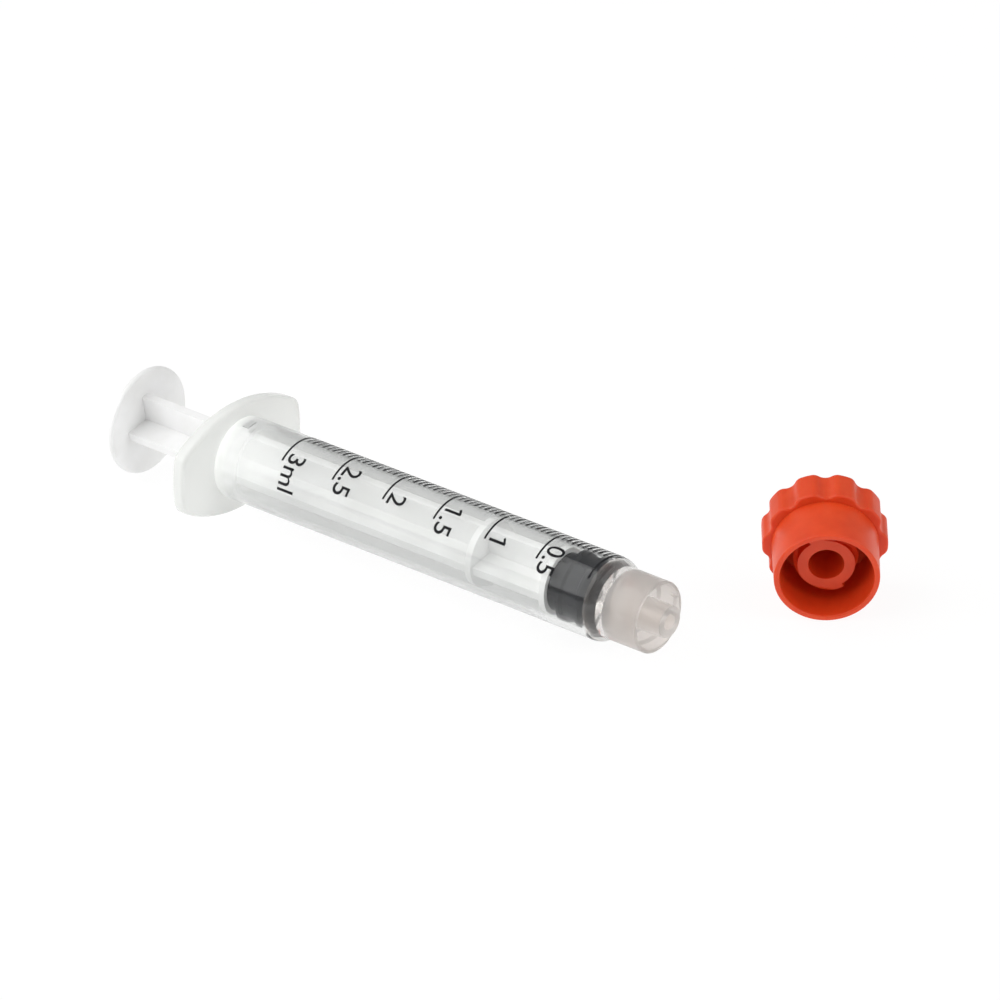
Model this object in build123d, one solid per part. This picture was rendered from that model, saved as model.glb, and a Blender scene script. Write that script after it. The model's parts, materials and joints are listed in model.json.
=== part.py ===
"""Three-millilitre oral syringe with a luer-lock tip, plunger pressed home and tip cap off."""

import math
import os

from build123d import *

# All sizes are in millimetres.
# X is the barrel's axis and +X points out of the tip, Y runs along the finger flange, +Z is up.
# The origin is on the axis, in the front face of the finger flange.

# Barrel tube and printed scale
barrel_bore = 8.95
barrel_wall = 0.775
scale_volume = 3000.0
flange_to_full_mark = 9.4
bore_lead_in = 0.35
end_cone_depth = 1.15

# Finger flange: two long bowed sides, two blunter bowed ends and round corners
flange_length = 22.0
flange_width = 13.8
flange_thickness = 1.85
flange_side_radius = 19.0
flange_end_radius = 18.0
flange_corner_round = 2.0
flange_edge_round = 0.45

# Tip: shoulder, threaded collar and luer nozzle
shoulder_start = 0.3
shoulder_length = 1.6
collar_diameter = 9.0
collar_length = 5.95
collar_wall = 0.5
collar_floor = 0.8
collar_rim_round = 0.18
nozzle_projection = 1.75
nozzle_end_diameter = 3.97
luer_taper = 0.06
lumen_diameter = 2.0

# Luer thread, which the collar and the cap's hub share
thread_lead = 5.0
thread_starts = 2
thread_height = 0.45
thread_clearance = 0.1
thread_bite = 0.12
collar_thread_root = 1.1
collar_thread_crest = 0.4
hub_thread_root = 1.5
hub_thread_crest = 0.9
hub_thread_length = 3.2

# Rubber stopper
stopper_length = 5.9
seal_clearance = 0.04
seal_width = 0.45
rear_seal_back = 3.8
front_seal_back = 0.9
stopper_waist_inset = 0.3
stopper_tail_inset = 0.75
end_clearance = 0.15

# Plunger rod
rod_behind_flange = 15.15
thumb_diameter = 13.7
thumb_thickness = 0.85
thumb_edge_round = 0.35
rib_gap = 0.625
rib_thickness = 1.05
plunger_roll = 10.5
guide_disc_gap = 0.25
guide_disc_thickness = 0.9
guide_disc_back = 17.7
barb_neck_diameter = 3.0
barb_head_diameter = 4.8
barb_neck_length = 1.4
barb_head_length = 2.0
barb_clearance = 0.05

# Tip cap
cap_length = 10.95
grip_length = 4.35
grip_diameter = 15.1
grip_flutes = 10
flute_depth = 0.6
flute_radius = 1.4
flute_lip_round = 1.2
grip_edge_round = 0.25
skirt_clearance = 0.4
skirt_wall = 0.7
skirt_draft = 0.1
skirt_lip_round = 0.2
hub_recess = 2.8
hub_engagement = 4.25
gap_spare_depth = 1.15
socket_depth = 7.0
cap_mouth_x = 73.45
cap_mouth_y = 21.5
cap_heading = -50.0

# Worked out from the sizes above
bore_radius = barrel_bore / 2
barrel_radius = bore_radius + barrel_wall
stroke = scale_volume / (math.pi * bore_radius**2)
zero_mark = flange_to_full_mark + stroke
shoulder_x = zero_mark + shoulder_start
collar_base = shoulder_x + shoulder_length
collar_rim = collar_base + collar_length
collar_bore = collar_diameter - 2 * collar_wall
nozzle_end = collar_rim + nozzle_projection
rib_span = barrel_bore - 2 * rib_gap
hub_diameter = collar_bore - 2 * (thread_height + thread_clearance)
socket_mouth_diameter = nozzle_end_diameter + (nozzle_projection + hub_engagement) * luer_taper
skirt_bore = 2 * (barrel_radius + skirt_clearance)
skirt_diameter = skirt_bore + 2 * skirt_wall
cap_gap_depth = hub_recess + hub_engagement + gap_spare_depth
floor_z = -flange_width / 2


def revolved(points):
    """Solid of revolution about X from (x, radius) points."""
    return revolve(make_face(Polyline(*points, close=True)), Axis.X)


def along_x(radius, start, end):
    """Cylinder on the X axis between two stations."""
    return revolved([(start, 0), (start, radius), (end, radius), (end, 0)])


def circles_beyond(solid, station):
    """The round edges of a solid that lie beyond a station on X."""
    round_edges = solid.edges().filter_by(GeomType.CIRCLE)
    return round_edges.filter_by(lambda edge: edge.center().X > station)


def thread(wall_radius, height, root, crest, x_from, x_to):
    """All starts of the luer thread on a wall about X: a positive height stands outward."""
    bite = math.copysign(thread_bite, height)
    helix = Helix(thread_lead, x_to - x_from, wall_radius)
    flank = [(-bite, -root / 2), (height, -crest / 2), (height, crest / 2), (-bite, root / 2)]
    section = Polyline(*flank, close=True)
    start = Plane(origin=helix @ 0, x_dir=(1, 0, 0), z_dir=helix % 0)
    ridge = sweep(start * make_face(section), path=helix, is_frenet=True)
    lying = Pos(x_from, 0, 0) * Rot(0, 90, 0)
    return [lying * Rot(0, 0, 360 / thread_starts * i) * ridge for i in range(thread_starts)]


def nozzle_radius(x):
    """Radius of the luer cone at station x: it narrows towards the open end."""
    return nozzle_end_diameter / 2 + (nozzle_end - x) * luer_taper / 2


def make_flange():
    """Oval finger flange as one plate, its front face at x = 0."""
    long_sides = [Pos(0, side * (flange_side_radius - flange_width / 2)) for side in (-1, 1)]
    blunt_ends = [Pos(side * (flange_end_radius - flange_length / 2), 0) for side in (-1, 1)]
    oval = long_sides[0] * Circle(flange_side_radius) & long_sides[1] * Circle(flange_side_radius)
    for end in blunt_ends:
        oval = oval & end * Circle(flange_end_radius)
    oval = fillet(oval.vertices(), flange_corner_round)
    back = Plane(origin=(-flange_thickness, 0, 0), x_dir=(0, 1, 0), z_dir=(1, 0, 0))
    plate = extrude(back * oval, flange_thickness)
    return fillet(plate.edges().filter_by(Plane.YZ), flange_edge_round)


def make_barrel():
    """Tube, finger flange, shoulder, nozzle and threaded collar, moulded as one."""
    collar_radius = collar_diameter / 2
    floor_x = collar_base + collar_floor

    outline = Polyline(
        (-flange_thickness, 0), (-flange_thickness, barrel_radius), (shoulder_x, barrel_radius)
    )
    outline += TangentArc((shoulder_x, barrel_radius), (collar_base, collar_radius), tangent=(1, 0))
    outline += Polyline(
        (collar_base, collar_radius),
        (collar_rim, collar_radius),
        (collar_rim, 0),
        (-flange_thickness, 0),
    )
    body = revolve(make_face(outline), Axis.X)
    body = body - along_x(collar_bore / 2, floor_x, collar_rim)
    body = fillet(circles_beyond(body, collar_rim - 0.01), collar_rim_round)
    body = body + make_flange()
    body = body + revolved(
        [
            (floor_x - collar_floor / 2, 0),
            (floor_x - collar_floor / 2, nozzle_radius(floor_x)),
            (floor_x, nozzle_radius(floor_x)),
            (nozzle_end, nozzle_radius(nozzle_end)),
            (nozzle_end, 0),
        ]
    )
    margin = collar_thread_root / 2
    ends = (floor_x + margin, collar_rim - margin)
    for ridge in thread(collar_bore / 2, -thread_height, collar_thread_root, collar_thread_crest, *ends):
        body = body + ridge

    bore_end = zero_mark + end_clearance
    lumen_radius = lumen_diameter / 2
    body = body - revolved(
        [
            (-flange_thickness, 0),
            (-flange_thickness, bore_radius + bore_lead_in),
            (-flange_thickness + bore_lead_in, bore_radius),
            (bore_end, bore_radius),
            (bore_end + end_cone_depth, lumen_radius),
            (nozzle_end, lumen_radius),
            (nozzle_end, 0),
        ]
    )
    return body


def make_stopper():
    """Rubber stopper with two sealing ribs, a shallow cone in front and a barbed socket behind."""
    seal = bore_radius - seal_clearance
    waist = seal - stopper_waist_inset
    tail = seal - stopper_tail_inset
    back = zero_mark - stopper_length
    half = seal_width / 2
    rear_seal = zero_mark - rear_seal_back
    front_seal = zero_mark - front_seal_back
    ramp = stopper_waist_inset
    cone_tip = lumen_diameter / 2 * 0.8
    body = revolved(
        [
            (back, 0),
            (back, tail),
            (rear_seal - half - ramp, tail),
            (rear_seal - half, seal),
            (rear_seal + half, seal),
            (rear_seal + half + ramp, waist),
            (front_seal - half - ramp, waist),
            (front_seal - half, seal),
            (front_seal + half, seal),
            (zero_mark, waist),
            (zero_mark + end_cone_depth, cone_tip),
            (zero_mark + end_cone_depth, 0),
        ]
    )
    return body - barb(barb_clearance)


def barb(clearance):
    """The rod's barbed head, grown by a clearance for the socket that holds it."""
    seat = zero_mark - stopper_length
    neck = barb_neck_diameter / 2 + clearance
    head = barb_head_diameter / 2 + clearance
    head_back = seat + barb_neck_length - clearance
    head_front = seat + barb_neck_length + barb_head_length + clearance
    return revolved(
        [
            (seat, 0),
            (seat, neck),
            (head_back, neck),
            (head_back, head),
            (head_back + barb_head_length / 2, head),
            (head_front, neck),
            (head_front, 0),
        ]
    )


def make_plunger_rod():
    """Thumb rest, four-ribbed rod, two guide discs and the barb for the stopper."""
    seat = zero_mark - stopper_length
    disc_radius = bore_radius - guide_disc_gap
    thumb = along_x(thumb_diameter / 2, -rod_behind_flange - thumb_thickness, -rod_behind_flange)
    thumb = fillet(thumb.edges(), thumb_edge_round)
    rod = thumb + barb(0)
    rod = rod + along_x(disc_radius, seat - guide_disc_thickness, seat)
    guide = zero_mark - guide_disc_back
    rod = rod + along_x(disc_radius, guide - guide_disc_thickness / 2, guide + guide_disc_thickness / 2)
    rib_length = seat + rod_behind_flange
    for roll in (plunger_roll, plunger_roll + 90):
        rib = Rot(roll, 0, 0) * Box(rib_length, rib_span, rib_thickness)
        rod = rod + Pos(seat - rib_length / 2, 0, 0) * rib
    return rod


def grip_outline():
    """Cross-section of the fluted grip, with a valley between two lobes straight below."""
    outline = Circle(grip_diameter / 2)
    centre = grip_diameter / 2 - flute_depth + flute_radius
    for i in range(grip_flutes):
        outline = outline - Rot(0, 0, 360 / grip_flutes * i) * Pos(0, -centre) * Circle(flute_radius)
    return fillet(outline.vertices(), flute_lip_round)


def cap_solid():
    """The cap in its own frame: closed end at x = 0, mouth towards +X, a valley of the grip below."""
    closed_end = Plane(origin=(0, 0, 0), x_dir=(0, 1, 0), z_dir=(1, 0, 0))
    grip = extrude(closed_end * grip_outline(), grip_length)
    grip = fillet(grip.edges().filter_by(Plane.YZ), grip_edge_round)
    skirt = revolved(
        [
            (grip_length / 2, 0),
            (grip_length / 2, skirt_diameter / 2 + skirt_draft),
            (grip_length, skirt_diameter / 2 + skirt_draft),
            (cap_length, skirt_diameter / 2),
            (cap_length, 0),
        ]
    )
    skirt = skirt - along_x(skirt_bore / 2, cap_length - skirt_lip_round * 4, cap_length)
    skirt = fillet(circles_beyond(skirt, cap_length - 0.01), skirt_lip_round)
    cap = grip + skirt
    cap = cap - along_x(skirt_bore / 2, cap_length - cap_gap_depth, cap_length)
    hub_face = cap_length - hub_recess
    cap = cap + along_x(hub_diameter / 2, cap_length - cap_gap_depth - thread_bite, hub_face)
    reach = along_x(hub_diameter / 2 + thread_height, hub_face - cap_gap_depth / 2, hub_face)
    ends = (hub_face - hub_thread_length, hub_face - hub_thread_crest / 4)
    for ridge in thread(hub_diameter / 2, thread_height, hub_thread_root, hub_thread_crest, *ends):
        cap = cap + (ridge & reach)
    mouth = socket_mouth_diameter / 2
    bottom = mouth - socket_depth * luer_taper / 2
    socket = [
        (hub_face - socket_depth, 0),
        (hub_face - socket_depth, bottom),
        (hub_face, mouth),
        (hub_face, 0),
    ]
    return cap - revolved(socket)


def make_tip_cap():
    """The cap lying on its side, on two lobes of the grip and the rim of its mouth."""
    lobe_drop = -grip_outline().bounding_box().min.Y
    mouth_ahead = cap_length - grip_length
    dip = math.degrees(math.atan2(lobe_drop - skirt_diameter / 2, mouth_ahead))
    cap = Rot(0, dip, 0) * (Pos(-cap_length, 0, 0) * cap_solid())
    cap = Rot(0, 0, cap_heading) * cap
    drop = floor_z - cap.bounding_box().min.Z
    return Pos(cap_mouth_x, cap_mouth_y, drop) * cap


os.makedirs("parts", exist_ok=True)
export_step(make_barrel(), "parts/barrel.step")
export_step(make_stopper(), "parts/stopper.step")
export_step(make_plunger_rod(), "parts/plunger_rod.step")
export_step(make_tip_cap(), "parts/tip_cap.step")
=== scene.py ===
import json
import math

import bpy
from mathutils import Matrix, Vector


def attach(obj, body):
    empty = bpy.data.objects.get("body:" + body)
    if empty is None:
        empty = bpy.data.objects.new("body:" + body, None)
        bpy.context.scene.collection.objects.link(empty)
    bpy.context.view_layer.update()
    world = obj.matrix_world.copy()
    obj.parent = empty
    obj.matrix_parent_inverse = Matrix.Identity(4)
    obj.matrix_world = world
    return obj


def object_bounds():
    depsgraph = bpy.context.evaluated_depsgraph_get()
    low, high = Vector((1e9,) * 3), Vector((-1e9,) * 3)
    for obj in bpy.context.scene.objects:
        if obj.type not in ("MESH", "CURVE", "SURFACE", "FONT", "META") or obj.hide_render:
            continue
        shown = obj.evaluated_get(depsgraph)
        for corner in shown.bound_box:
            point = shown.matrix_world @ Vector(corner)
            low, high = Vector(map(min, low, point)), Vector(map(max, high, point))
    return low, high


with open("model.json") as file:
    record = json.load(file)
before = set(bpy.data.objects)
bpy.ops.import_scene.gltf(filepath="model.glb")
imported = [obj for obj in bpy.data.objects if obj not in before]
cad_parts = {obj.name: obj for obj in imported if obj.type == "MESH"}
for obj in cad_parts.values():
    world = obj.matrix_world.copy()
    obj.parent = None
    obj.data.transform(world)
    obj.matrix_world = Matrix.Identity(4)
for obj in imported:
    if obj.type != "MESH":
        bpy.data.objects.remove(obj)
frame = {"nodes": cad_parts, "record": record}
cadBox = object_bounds()
mm = 0.001


def linearColour(hexText):
    # sRGB hex to the linear colour that Blender wants
    parts = [int(hexText[i:i + 2], 16) / 255 for i in (1, 3, 5)]
    return tuple(c / 12.92 if c < 0.04045 else ((c + 0.055) / 1.055) ** 2.4 for c in parts) + (1.0,)


def addNode(tree, kind, settings=None, links=None):
    # settings: input or property name to value; links: input name to (node, output name)
    node = tree.nodes.new(kind)
    for name, value in (settings or {}).items():
        if name in node.inputs:
            node.inputs[name].default_value = value
        else:
            setattr(node, name, value)
    for name, (source, output) in (links or {}).items():
        tree.links.new(source.outputs[output], node.inputs[name])
    return node


def newMaterial(look):
    # a new material with the look's fixed shader values
    material = bpy.data.materials.new(look["name"])
    material.use_nodes = True
    tree = material.node_tree
    shader = tree.nodes["Principled BSDF"]
    for socket, value in look["shader"].items():
        shader.inputs[socket].default_value = value
    return material, tree, shader


def setRamp(ramp, stops):
    # stops: (position, hex colour or grey level)
    elements = ramp.color_ramp.elements
    while len(elements) < len(stops):
        elements.new(0.5)
    for element, (place, shade) in zip(elements, stops):
        element.position = place
        element.color = linearColour(shade) if isinstance(shade, str) else (shade, shade, shade, 1.0)


def setFinish(piece, material):
    piece.data.materials.clear()
    piece.data.materials.append(material)


def deselectAll():
    if bpy.context.object and bpy.context.object.mode != "OBJECT":
        bpy.ops.object.mode_set(mode="OBJECT")
    bpy.ops.object.select_all(action="DESELECT")


def pick(piece):
    deselectAll()
    piece.select_set(True)
    bpy.context.view_layer.objects.active = piece


def applyAll(piece):
    pick(piece)
    bpy.ops.object.transform_apply(location=True, rotation=True, scale=True)


def joinPieces(pieces, name):
    deselectAll()
    for piece in pieces:
        piece.select_set(True)
    bpy.context.view_layer.objects.active = pieces[0]
    bpy.ops.object.join()
    joined = bpy.context.object
    joined.name = name
    joined.data.name = name
    return joined


def mountNamed(name):
    return next(m for m in frame["record"]["mounts"] if m["name"] == name)


def sides(piece):
    # the piece's leftmost and rightmost x
    xs = [v.co.x for v in piece.data.vertices]
    return min(xs), max(xs)


# angles are in degrees round the barrel from its top, growing towards the labels
scale = {
    "fullMark": 9.4 * mm,        # from the flange's front face to the 3 ml line
    "bore": 8.95 * mm,
    "fullVolume": 3.0,           # millilitres
    "majors": 6,                 # half-millilitre steps
    "minorsPerMajor": 10,
    "majorLine": 0.28 * mm,
    "tenthLine": 0.30 * mm,
    "twentiethLine": 0.17 * mm,
    "lineStart": -44.0,
    "minorEnd": -4.0,
    "majorEnd": 41.0,
    "labels": ["3ml", "2.5", "2", "1.5", "1", "0.5"],
    "labelMiddle": 35.4,
    "unitLabel": "3ml",          # this one is longer, so it is set from its left end
    "unitLabelStart": 26.9,
    "labelSize": 3.55 * mm,
    "labelGap": 0.62 * mm,
    "labelBold": 0.004,          # share of the label size
    "labelSteps": 6,             # pieces in each curve of a letter
    "oneFlag": (0.80 * mm, 0.30 * mm),   # length and width of the flag on every 1
    "oneFlagLean": 28.0,         # degrees that the flag drops to the left
    "inkHeight": 0.018 * mm,
    "inkLift": 0.010 * mm,
    "cutEvery": 4.0,             # degrees between the cuts that let the flat print bend
    "cutUntil": 100.0,
}
barrelRadius = mountNamed("barrel_outside")["dims"]["r_mm"] * mm
inkRadius = barrelRadius + scale["inkLift"]
stroke = scale["fullVolume"] * 1000 / (math.pi * (scale["bore"] / mm / 2) ** 2) * mm


def arcLength(degrees):
    return math.radians(degrees) * inkRadius


def flatBar(middle, length, width, turn=0.0):
    bpy.ops.mesh.primitive_plane_add(size=1, location=middle, rotation=(0, 0, turn))
    bar = bpy.context.object
    bar.scale = (length, width, 1)
    applyAll(bar)
    return bar


def flatLine(along, start, end, width):
    # a bar lying on the flat print: x runs round the barrel, y along it
    left, right = arcLength(start), arcLength(end)
    return flatBar(((left + right) / 2, along, 0), right - left, width)


def flatLabel(words, along):
    bpy.ops.object.text_add(location=(0, 0, 0))
    label = bpy.context.object
    label.data.body = words
    label.data.size = scale["labelSize"]
    label.data.offset = scale["labelBold"] * scale["labelSize"]
    label.data.resolution_u = scale["labelSteps"]
    label.data.align_x = "LEFT"
    pick(label)
    bpy.ops.object.convert(target="MESH")
    label = bpy.context.object
    if words[0] == "1":
        label = addFlag(label)
    low, high = sides(label)
    shift = arcLength(scale["labelMiddle"]) - (low + high) / 2
    if words == scale["unitLabel"]:
        shift = arcLength(scale["unitLabelStart"]) - low
    label.location = (shift, along + scale["labelGap"], 0)
    applyAll(label)
    return label


def addFlag(label):
    # the font's 1 is a bare stroke: a short slanted bar at its top left makes its flag
    top = max(v.co.y for v in label.data.vertices)
    left = sides(label)[0]
    length, width = scale["oneFlag"]
    lean = math.radians(scale["oneFlagLean"])
    middle = (
        left - length / 2 * math.cos(lean) + width / 2,
        top - length / 2 * math.sin(lean) - width / 2,
        0,
    )
    return joinPieces([label, flatBar(middle, length, width, lean)], "one")


def cutForBending(print2d):
    pick(print2d)
    bpy.ops.object.mode_set(mode="EDIT")
    angle = scale["lineStart"] + scale["cutEvery"]
    while angle < scale["cutUntil"]:
        bpy.ops.mesh.select_all(action="SELECT")
        bpy.ops.mesh.bisect(plane_co=(arcLength(angle), 0, 0), plane_no=(1, 0, 0))
        angle += scale["cutEvery"]
    bpy.ops.mesh.select_all(action="SELECT")
    bpy.ops.mesh.remove_doubles(threshold=0.001 * mm)
    bpy.ops.object.mode_set(mode="OBJECT")


def wrapOnBarrel(print2d, height):
    # the flat print is cut, stood up, bent to the barrel's radius and laid along +X
    cutForBending(print2d)
    print2d.rotation_euler = (math.pi / 2, 0, 0)
    applyAll(print2d)
    low, high = sides(print2d)
    bend = print2d.modifiers.new("bend", "SIMPLE_DEFORM")
    bend.deform_method = "BEND"
    bend.deform_axis = "Z"
    bend.angle = (high - low) / inkRadius
    thick = print2d.modifiers.new("thick", "SOLIDIFY")
    thick.thickness = height
    thick.offset = 1
    pick(print2d)
    bpy.ops.object.modifier_apply(modifier="bend")
    bpy.ops.object.modifier_apply(modifier="thick")
    print2d.location = (0, -inkRadius, 0)
    applyAll(print2d)
    # flat x to world -Y, flat y to world -Z, flat z to world +X
    print2d.matrix_world = Matrix(((0, 0, 1, 0), (-1, 0, 0, 0), (0, -1, 0, 0), (0, 0, 0, 1)))
    applyAll(print2d)
    return print2d


def makeScale():
    minors = scale["minorsPerMajor"]
    step = stroke / scale["majors"] / minors
    flat = []
    for i in range(scale["majors"] * minors + 1):
        end, width = scale["minorEnd"], scale["twentiethLine"]
        if i % minors == 0:
            end, width = scale["majorEnd"], scale["majorLine"]
        elif i % 2 == 0:
            width = scale["tenthLine"]
        flat.append(flatLine(scale["fullMark"] + i * step, scale["lineStart"], end, width))
    for i, words in enumerate(scale["labels"]):
        flat.append(flatLabel(words, scale["fullMark"] + i * step * minors))
    return wrapOnBarrel(joinPieces(flat, "printed_scale"), scale["inkHeight"])


# two small raised bars from the mould, on top of the tube just in front of the flange
mouldMark = {
    "height": 0.10 * mm,
    "bars": [
        {"along": 1.7 * mm, "start": -2.0, "end": 15.0, "width": 0.9 * mm},
        {"along": 2.9 * mm, "start": 12.0, "end": 20.0, "width": 0.5 * mm},
    ],
}


def makeMouldMark():
    flat = [flatLine(**bar) for bar in mouldMark["bars"]]
    return wrapOnBarrel(joinPieces(flat, "mould_mark"), mouldMark["height"])


# clear polypropylene, injection moulded: white and milky at the thick flange, hazy along the
# tube, clear over the stopper and frosted at the tip. Its tint is darker grey along the tube as
# painted shade on the rod inside it, and warm grey at the tip as painted shade. Its index is set
# below the plastic's own 1.49, so that the tube throws back less of the room
frostedPolypropylene = {
    "name": "frosted_polypropylene",
    "shader": {"IOR": 1.33},
    "ends": (-2.0, 68.0),        # millimetres along the barrel, as in the lists below
    "tint": [
        # tint: the greyer stops at 12.0 and 45.6 mm are painted shade on the rod seen through the
        # tube; the warm grey at 61.0 mm is painted shade on the tip
        (-0.6, "#f0f1ef"), (1.5, "#eaebea"), (12.0, "#e0e1e0"),
        (45.6, "#e3e4e3"), (56.8, "#f1f2f1"), (61.0, "#dbd6d2"),
    ],
    "clearness": [
        (-0.6, 0.30), (1.5, 0.66), (5.0, 0.80), (45.6, 0.80),
        (51.2, 0.992), (58.2, 0.992), (60.3, 0.82),
    ],
    "roughness": [(1.5, 0.24), (19.0, 0.07), (59.25, 0.06), (60.3, 0.40)],
    "streakWidth": 1.2 * mm,     # the melt flows along the tube and leaves faint streaks
    "streakStretch": 0.1,        # ten times longer than wide
    "streakStrength": (0.9, 1.1),
}


def makeFrosted(look):
    material, tree, shader = newMaterial(look)
    first, last = look["ends"]
    place = addNode(tree, "ShaderNodeTexCoord")
    split = addNode(tree, "ShaderNodeSeparateXYZ", links={"Vector": (place, "Object")})
    along = addNode(tree, "ShaderNodeMapRange",
                    {"From Min": first * mm, "From Max": last * mm, "To Min": 0.0, "To Max": 1.0},
                    {"Value": (split, "X")})
    ramps = {}
    for name in ("tint", "clearness", "roughness"):
        ramps[name] = addNode(tree, "ShaderNodeValToRGB", links={"Fac": (along, "Result")})
        setRamp(ramps[name], [((x - first) / (last - first), shade) for x, shade in look[name]])
    # the tint ramp carries the painted shade along the tube and at the tip
    tree.links.new(ramps["tint"].outputs["Color"], shader.inputs["Base Color"])
    tree.links.new(ramps["clearness"].outputs["Color"], shader.inputs["Transmission Weight"])
    stretch = addNode(tree, "ShaderNodeMapping", {"Scale": (look["streakStretch"], 1.0, 1.0)},
                      {"Vector": (place, "Object")})
    flow = addNode(tree, "ShaderNodeTexNoise", {"Scale": 1 / look["streakWidth"], "Detail": 2.0},
                   {"Vector": (stretch, "Vector")})
    weakest, strongest = look["streakStrength"]
    streak = addNode(tree, "ShaderNodeMapRange",
                     {"From Min": 0.3, "From Max": 0.7, "To Min": weakest, "To Max": strongest},
                     {"Value": (flow, "Fac")})
    rough = addNode(tree, "ShaderNodeMath", {"operation": "MULTIPLY"})
    tree.links.new(ramps["roughness"].outputs["Color"], rough.inputs[0])
    tree.links.new(streak.outputs["Result"], rough.inputs[1])
    tree.links.new(rough.outputs["Value"], shader.inputs["Roughness"])
    return material


# high-density polyethylene, injection moulded: soft white with a waxy satin skin
whitePolyethylene = {
    "name": "white_polyethylene",
    "shader": {
        "IOR": 1.53,
        "Subsurface Weight": 0.2,
        "Subsurface Radius": (1.0, 1.0, 1.0),
        "Subsurface Scale": 0.6 * mm,
    },
    "cloud": (4 * mm, 3.0),      # size of the mottling, and its detail
    "tint": [(0.35, "#ececeb"), (0.65, "#f3f3f3")],
    "skin": (0.25 * mm, 2.0),    # size of the moulded grain, and its detail
    "roughness": (0.38, 0.52),
    "grain": (0.10, 0.02 * mm),  # strength and depth
}

# moulded bromobutyl rubber, wiped with silicone: blue-black, with a smooth wet look
bromobutylRubber = {
    "name": "bromobutyl_rubber",
    "shader": {"Specular IOR Level": 0.15, "IOR": 1.52},
    "cloud": (1.5 * mm, 2.0),
    "tint": [(0.3, "#0f1015"), (0.7, "#15161c")],
    "roughness": (0.16, 0.24),
}

# coloured polyethylene, injection moulded: strong orange-red that glows a little where it is thin
redPolyethylene = {
    "name": "red_polyethylene",
    "shader": {
        "IOR": 1.53,
        "Specular IOR Level": 0.35,
        "Subsurface Weight": 0.35,
        "Subsurface Radius": (1.0, 0.25, 0.1),
        "Subsurface Scale": 1.2 * mm,
    },
    "cloud": (2.5 * mm, 3.0),
    "tint": [(0.3, "#da4317"), (0.7, "#e34b1e")],
    "skin": (0.3 * mm, 2.0),
    "roughness": (0.36, 0.50),
    "grain": (0.15, 0.02 * mm),
}

# pad-printed ink: flat black, a little thin in places
padPrintedInk = {
    "name": "pad_printed_ink",
    "shader": {"Specular IOR Level": 0.2},
    "cloud": (0.4 * mm, 2.0),
    "tint": [(0.3, "#0a0a0c"), (0.7, "#1a1a1e")],
    "roughness": (0.45, 0.65),
}


def makeMottled(look):
    # the colour drifts with a cloudy noise; the sheen follows the fine skin where there is one
    material, tree, shader = newMaterial(look)
    place = addNode(tree, "ShaderNodeTexCoord")
    noises = {}
    for name in ("cloud", "skin"):
        if name in look:
            size, detail = look[name]
            noises[name] = addNode(tree, "ShaderNodeTexNoise", {"Scale": 1 / size, "Detail": detail},
                                   {"Vector": (place, "Object")})
    tint = addNode(tree, "ShaderNodeValToRGB", links={"Fac": (noises["cloud"], "Fac")})
    setRamp(tint, look["tint"])
    tree.links.new(tint.outputs["Color"], shader.inputs["Base Color"])
    surface = noises.get("skin", noises["cloud"])
    smoothest, roughest = look["roughness"]
    rough = addNode(tree, "ShaderNodeMapRange", {"To Min": smoothest, "To Max": roughest},
                    {"Value": (surface, "Fac")})
    tree.links.new(rough.outputs["Result"], shader.inputs["Roughness"])
    if "grain" in look:
        strength, depth = look["grain"]
        grain = addNode(tree, "ShaderNodeBump", {"Strength": strength, "Distance": depth},
                        {"Height": (surface, "Fac")})
        tree.links.new(grain.outputs["Normal"], shader.inputs["Normal"])
    return material


# white paper lit from below, so that shadows stay faint
stage = {
    "azimuth": 39.70,            # degrees of the camera, to the right of straight ahead
    "elevation": 27.49,
    "distance": 1.2,
    "aim": (25.7 * mm, 18.08 * mm, -4.63 * mm),
    "viewWidth": 121.73 * mm,    # width of the picture at the aim point
    "sensor": 36.0,
    "clipEnd": 20.0,
    "skyStrength": 0.34,
    "floorSize": 3.0,
    "paper": {
        "name": "white_paper",
        "shader": {
            "Base Color": linearColour("#565656"),
            "Roughness": 0.9,
            "Specular IOR Level": 0.0,
            "Emission Color": (1, 1, 1, 1),
            "Emission Strength": 0.92,
        },
    },
    # each softbox: azimuth, elevation, distance, size, power
    "softboxes": {
        "key": (-40, 42, 0.8, 1.0, 6.2),
        "fill": (108, 38, 0.9, 0.8, 3.2),
    },
}


def towards(azimuth, elevation):
    # direction from the object to something at this azimuth and elevation, in degrees
    a, e = math.radians(azimuth), math.radians(elevation)
    return Vector((math.sin(a) * math.cos(e), -math.cos(a) * math.cos(e), math.sin(e)))


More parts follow.
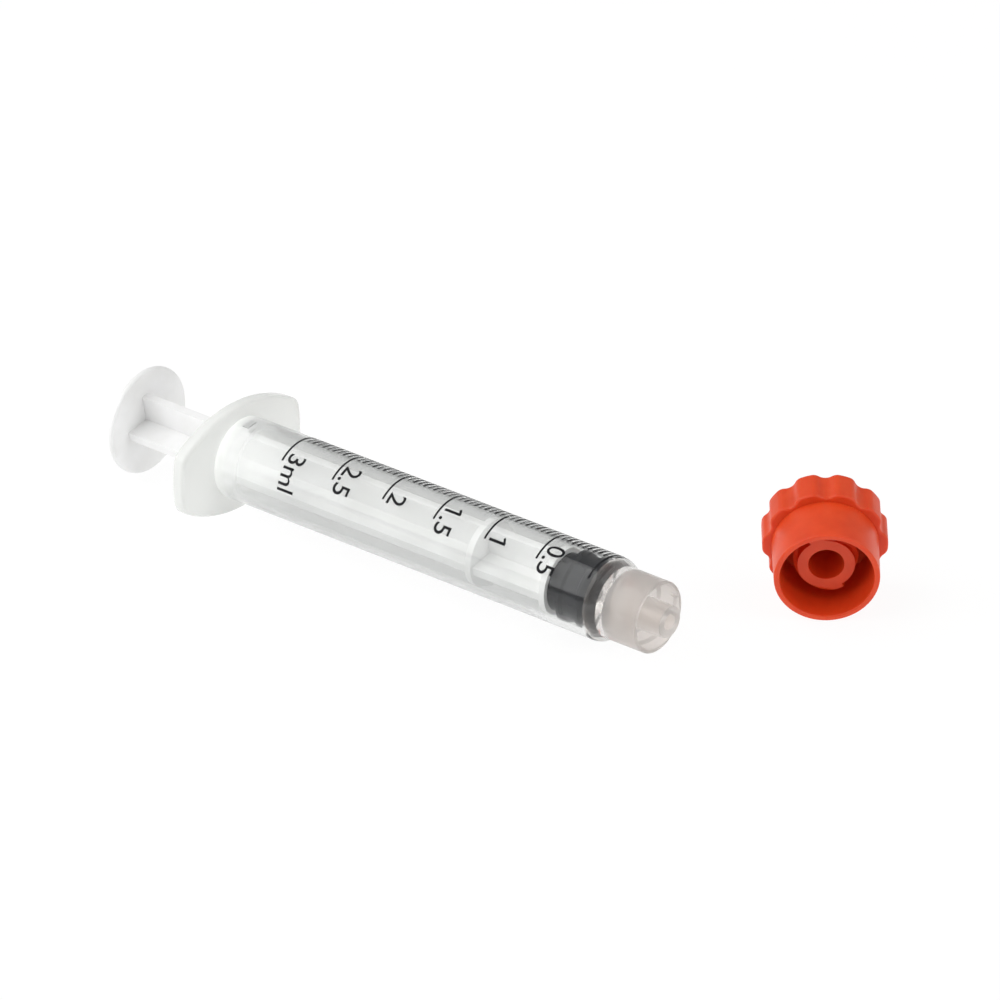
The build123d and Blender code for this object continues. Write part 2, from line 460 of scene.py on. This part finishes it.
def makeCamera():
    data = bpy.data.cameras.new("camera")
    camera = bpy.data.objects.new("camera", data)
    bpy.context.collection.objects.link(camera)
    azimuth = math.radians(stage["azimuth"])
    back = towards(stage["azimuth"], stage["elevation"])
    right = Vector((math.cos(azimuth), math.sin(azimuth), 0))
    turned = Matrix((right, back.cross(right), back)).transposed().to_4x4()
    turned.translation = Vector(stage["aim"]) + back * stage["distance"]
    camera.matrix_world = turned
    data.sensor_width = stage["sensor"]
    data.lens = stage["sensor"] * stage["distance"] / stage["viewWidth"]
    data.clip_end = stage["clipEnd"]
    bpy.context.scene.camera = camera


def makeFloor():
    bpy.ops.mesh.primitive_plane_add(size=stage["floorSize"], location=(0, 0, cadBox[0][2]))
    floor = bpy.context.object
    floor.name = "floor"
    setFinish(floor, newMaterial(stage["paper"])[0])


def areaLight(name, azimuth, elevation, distance, size, power):
    data = bpy.data.lights.new(name, "AREA")
    data.size = size
    data.energy = power
    light = bpy.data.objects.new(name, data)
    bpy.context.collection.objects.link(light)
    way = towards(azimuth, elevation)
    light.location = Vector(stage["aim"]) + way * distance
    light.rotation_euler = way.to_track_quat("Z", "Y").to_euler()


def makeLights():
    world = bpy.data.worlds.new("studio")
    bpy.context.scene.world = world
    world.use_nodes = True
    sky = world.node_tree.nodes["Background"]
    sky.inputs["Color"].default_value = (1, 1, 1, 1)
    sky.inputs["Strength"].default_value = stage["skyStrength"]
    for name, settings in stage["softboxes"].items():
        areaLight(name, *settings)
    bpy.context.scene.view_settings.view_transform = "Standard"


frosted = makeFrosted(frostedPolypropylene)
setFinish(frame["nodes"]["barrel"], frosted)
frame["nodes"]["barrel"].visible_shadow = False    # see-through plastic lets the lamps reach the rod
setFinish(frame["nodes"]["plunger_rod"], makeMottled(whitePolyethylene))
setFinish(frame["nodes"]["stopper"], makeMottled(bromobutylRubber))
setFinish(frame["nodes"]["tip_cap"], makeMottled(redPolyethylene))
print("materials set on the moulded parts")
ink = makeScale()
setFinish(ink, makeMottled(padPrintedInk))
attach(ink, "barrel")
print("scale printed:", len(ink.data.polygons), "faces")
mark = makeMouldMark()
setFinish(mark, frosted)
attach(mark, "barrel")
print("mould mark raised")
makeFloor()
makeCamera()
makeLights()
print("stage ready")
